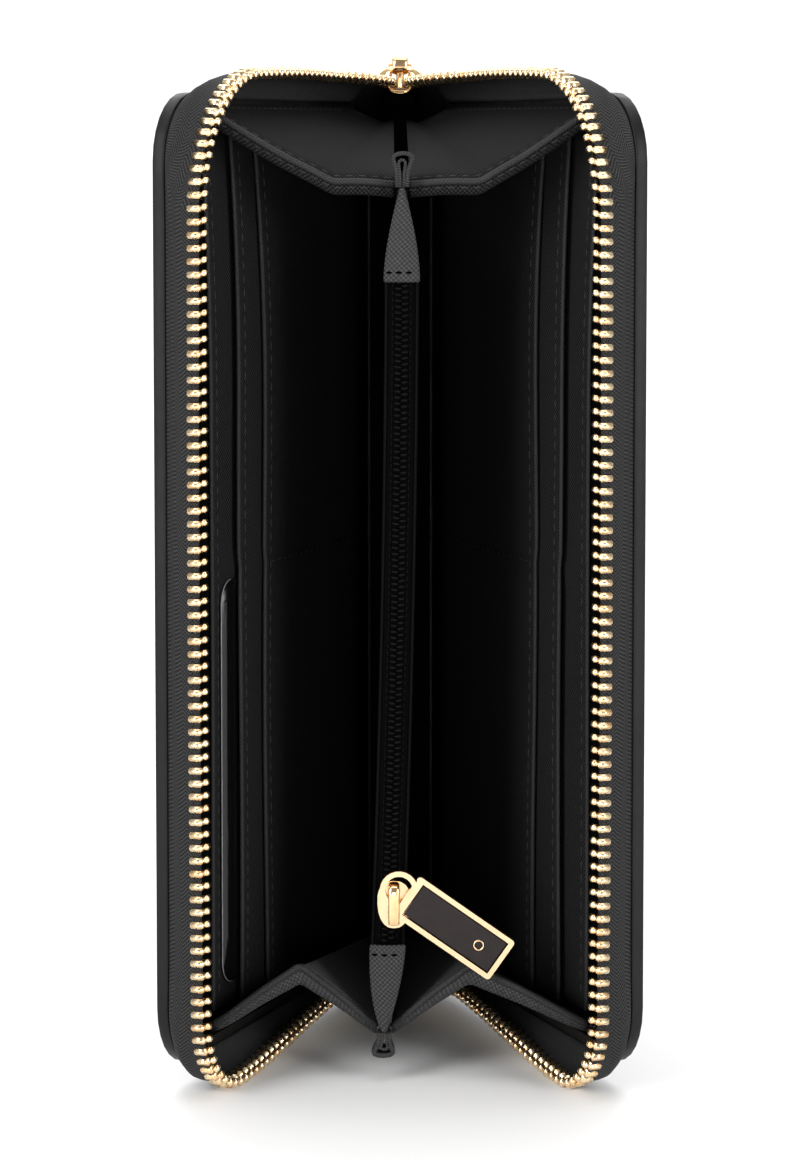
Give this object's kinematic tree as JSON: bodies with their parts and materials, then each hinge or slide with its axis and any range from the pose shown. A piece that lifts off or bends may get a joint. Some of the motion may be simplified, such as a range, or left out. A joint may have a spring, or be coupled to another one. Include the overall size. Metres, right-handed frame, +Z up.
{
  "type": "zip around wallet",
  "caption": "Zip around wallet standing open on its short end: hinged covers with metal zip teeth, card slots, folded end gussets, middle coin pocket with a hanging pull.",
  "frame": {"origin": "centre of the bounding box's base, where the wallet stands on its short end", "axes": "+Z up along the wallet's length, mouth towards -Y, spine towards +Y, left cover at -X"},
  "size_m": [0.0956, 0.1134, 0.2072],
  "materials": {
    "smooth_leather": "smooth satin black leather",
    "crosshatch_leather": "fine crosshatch embossed black leather",
    "lining_cloth": "matt black twill lining",
    "stiffener_board": "grey board",
    "zip_tape": "black herringbone woven tape",
    "nylon_coil": "black nylon",
    "pale_gold": "polished pale gold plating",
    "dark_inlay": "dark brown-black enamel",
    "clear_sleeve": "clear plastic sheet"
  },
  "bodies": {
    "root": {"spine_leather": "smooth_leather", "spine_lining": "lining_cloth", "zip_tail_top": "zip_tape", "zip_tail_bottom": "zip_tape", "zip_bottom_stop": "pale_gold", "left_coin_pocket_wall": "crosshatch_leather", "right_coin_pocket_wall": "crosshatch_leather", "coin_zip_tape": "zip_tape", "coin_zip_coil": "nylon_coil", "coin_tab_top": "crosshatch_leather", "coin_tab_bottom": "crosshatch_leather", "left_gusset_top": "crosshatch_leather", "left_gusset_bottom": "crosshatch_leather", "right_gusset_top": "crosshatch_leather", "right_gusset_bottom": "crosshatch_leather"},
    "left_cover": {"left_cover_leather": "smooth_leather", "left_cover_board": "stiffener_board", "left_cover_lining": "lining_cloth", "left_slip_pocket": "crosshatch_leather", "left_card_slot_outer": "crosshatch_leather", "left_card_slot_inner": "crosshatch_leather", "id_window": "clear_sleeve", "left_zip_tape": "zip_tape", "left_zip_teeth": "pale_gold"},
    "right_cover": {"right_cover_leather": "smooth_leather", "right_cover_board": "stiffener_board", "right_cover_lining": "lining_cloth", "right_slip_pocket": "crosshatch_leather", "right_card_slot_outer": "crosshatch_leather", "right_card_slot_inner": "crosshatch_leather", "right_zip_tape": "zip_tape", "right_zip_teeth": "pale_gold"},
    "main_slider": {"main_slider_body": "pale_gold", "main_slider_bail": "pale_gold"},
    "main_pull": {"main_pull_frame": "pale_gold", "main_pull_inlay": "dark_inlay"},
    "coin_slider": {"coin_slider_body": "pale_gold", "coin_slider_bail": "pale_gold"},
    "coin_pull": {"coin_pull_frame": "pale_gold", "coin_pull_inlay": "dark_inlay"}
  },
  "joints": [
    {"name": "left_cover_hinge", "type": "hinge", "parent": "root", "child": "left_cover", "pos_m": [-0.01, 0.03788, 0.1035], "axis": [0, 0, 1], "range_deg": [-6, 20], "deforming": ["left_gusset_top", "left_gusset_bottom"]},
    {"name": "right_cover_hinge", "type": "hinge", "parent": "root", "child": "right_cover", "pos_m": [0.01, 0.03788, 0.1035], "axis": [0, 0, 1], "range_deg": [-20, 6], "deforming": ["right_gusset_top", "right_gusset_bottom"]},
    {"name": "main_slider_travel", "type": "slide", "parent": "root", "child": "main_slider", "axis": [0, -1, 0], "range_m": [0, 0.066]},
    {"name": "main_pull_swing", "type": "hinge", "parent": "main_slider", "child": "main_pull", "pos_m": [0, 0.03998, 0.2054], "axis": [1, 0, 0], "range_deg": [0, 139]},
    {"name": "coin_slider_travel", "type": "slide", "parent": "root", "child": "coin_slider", "axis": [0, 0, 1], "range_m": [0, 0.118]},
    {"name": "coin_pull_swing", "type": "hinge", "parent": "coin_slider", "child": "coin_pull", "pos_m": [-0.0012, -0.04172, 0.0404], "axis": [0, 1, 0], "range_deg": [-17, 55]}
  ],
  "couplings": [
    {"joint": "main_pull_swing", "follows": "main_slider_travel", "rad_per_m": 36.6},
    {"joint": "coin_pull_swing", "follows": "right_cover_hinge", "ratio": -2.7}
  ]
}
